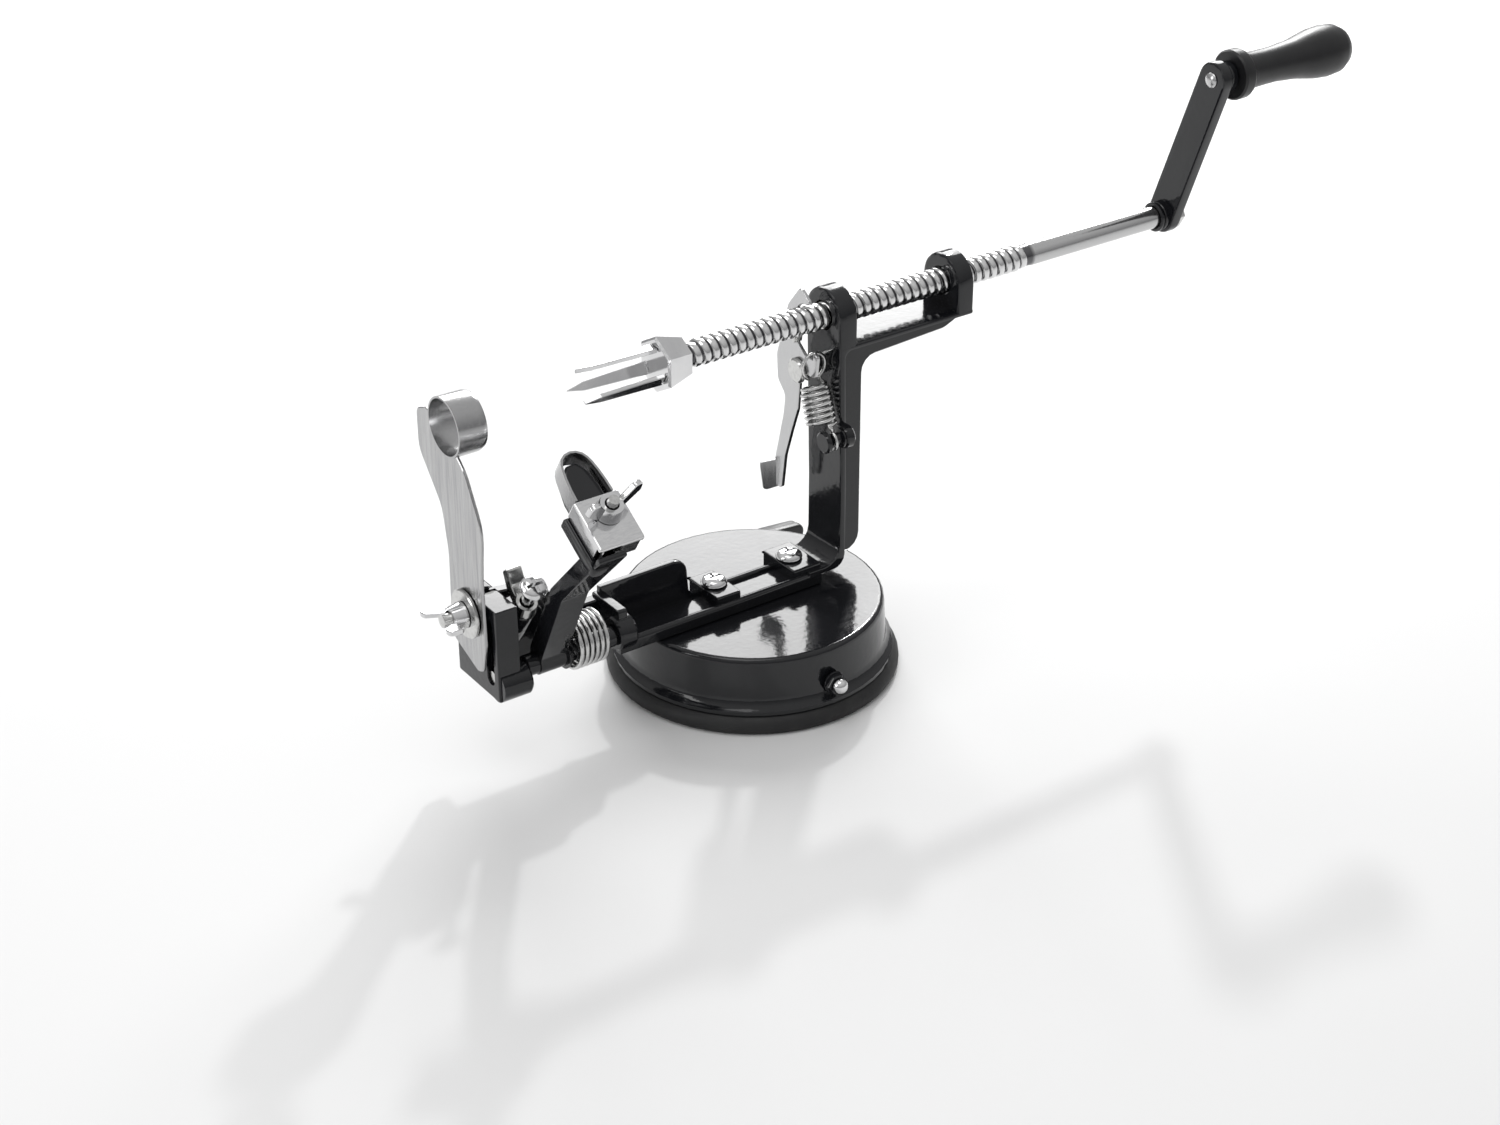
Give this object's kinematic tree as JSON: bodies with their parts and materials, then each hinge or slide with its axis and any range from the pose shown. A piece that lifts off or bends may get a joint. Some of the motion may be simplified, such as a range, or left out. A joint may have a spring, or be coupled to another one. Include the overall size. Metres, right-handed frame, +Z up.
{
  "type": "apple peeler corer",
  "caption": "Hand-cranked fruit peeler and corer on a suction base: a screw-fed fork spindle, a sprung peeling arm and a coring slicer blade",
  "frame": {"origin": "centre of the rubber foot's flat underside, on the surface the peeler stands on", "axes": "+X along the spindle from the fork and blades to the crank, +Z up, +Y away from the peeling arm's side"},
  "size_m": [0.4298, 0.1253, 0.2219],
  "materials": {
    "black_enamel": "gloss black baked enamel",
    "black_plastic": "satin black moulded plastic",
    "black_rubber": "matt black rubber",
    "chrome": "bright chrome plate",
    "zinc": "bright zinc plated steel",
    "blade_steel": "stamped and ground stainless steel",
    "spring_steel": "bright nickel-plated spring wire"
  },
  "bodies": {
    "stand": {"base_housing": "black_enamel", "rubber_foot": "black_rubber", "frame_casting": "black_enamel", "base_screw_left": "zinc", "base_screw_right": "zinc", "lever_pivot_pin": "zinc", "spring_stud": "black_enamel", "extension_spring": "spring_steel", "pivot_rod": "zinc", "torsion_spring": "spring_steel", "stop_screw": "zinc", "stop_lock_nut": "zinc", "slicer_bolt": "zinc", "slicer_washer": "zinc"},
    "suction_cam": {"cam_pin": "chrome", "pin_nut": "black_enamel", "suction_lever": "black_plastic"},
    "suction_puller": {"suction_stud": "zinc"},
    "thread_release": {"release_lever": "blade_steel", "half_nut": "zinc"},
    "feed_carrier": {"crank_washer": "black_enamel"},
    "spindle": {"spindle_rod": "chrome", "fork_hub": "chrome", "fork_prong_1": "chrome", "fork_prong_2": "chrome", "fork_prong_3": "chrome", "crank_arm": "black_enamel", "crank_nut": "zinc", "grip_rivet": "zinc"},
    "grip": {"crank_grip": "black_plastic"},
    "peeling_arm": {"peeler_arm": "black_enamel", "clamp_box": "chrome", "peeler_blade": "blade_steel", "clamp_bolt": "zinc"},
    "blade_clamp_nut": {"clamp_wing_nut": "chrome"},
    "slicer": {"slicer_blade": "blade_steel", "coring_ring": "blade_steel"},
    "slicer_nut": {"slicer_wing_nut": "zinc"}
  },
  "joints": [
    {"name": "suction_lever_turn", "type": "hinge", "parent": "stand", "child": "suction_cam", "pos_m": [0, 0, 0.0163], "axis": [0, -1, 0], "range_deg": [0, 100]},
    {"name": "suction_pull", "type": "slide", "parent": "stand", "child": "suction_puller", "axis": [0, 0, 1], "range_m": [-0.0025, 0]},
    {"name": "thread_release_swing", "type": "hinge", "parent": "stand", "child": "thread_release", "pos_m": [0.026, 0.0044, 0.1214], "axis": [-1, 0, 0], "range_deg": [0, 12], "stiffness_Nm_per_rad": 0.3, "springref_deg": -28.65, "deforming": ["extension_spring"]},
    {"name": "shaft_feed", "type": "slide", "parent": "stand", "child": "feed_carrier", "axis": [1, 0, 0], "range_m": [-0.075, 0.052]},
    {"name": "crank_turn", "type": "hinge", "parent": "feed_carrier", "child": "spindle", "pos_m": [0.2, 0, 0.1445], "axis": [1, 0, 0], "range_deg": [-6750, 4680]},
    {"name": "grip_spin", "type": "hinge", "parent": "spindle", "child": "grip", "pos_m": [0.25, -0.0234, 0.2111], "axis": [1, 0, 0], "continuous": true},
    {"name": "peeling_arm_swing", "type": "hinge", "parent": "stand", "child": "peeling_arm", "pos_m": [-0.1, -0.01, 0.0404], "axis": [1, 0, 0], "range_deg": [0, 40], "stiffness_Nm_per_rad": 0.4, "springref_deg": -34.38, "deforming": ["torsion_spring"]},
    {"name": "blade_clamp_nut_turn", "type": "hinge", "parent": "peeling_arm", "child": "blade_clamp_nut", "pos_m": [-0.0966, -0.04738, 0.11881], "axis": [0, -0.5373, 0.8434], "range_deg": [0, 360]},
    {"name": "slicer_swing", "type": "hinge", "parent": "stand", "child": "slicer", "pos_m": [-0.1295, 0, 0.0652], "axis": [1, 0, 0], "range_deg": [0, 60]},
    {"name": "slicer_nut_turn", "type": "hinge", "parent": "stand", "child": "slicer_nut", "pos_m": [-0.137, 0, 0.0652], "axis": [-1, 0, 0], "range_deg": [0, 360]}
  ],
  "couplings": [
    {"joint": "shaft_feed", "follows": "crank_turn", "m_per_rad": 0.00063662},
    {"joint": "suction_lever_turn", "follows": "suction_pull", "rad_per_m": -698.13}
  ]
}
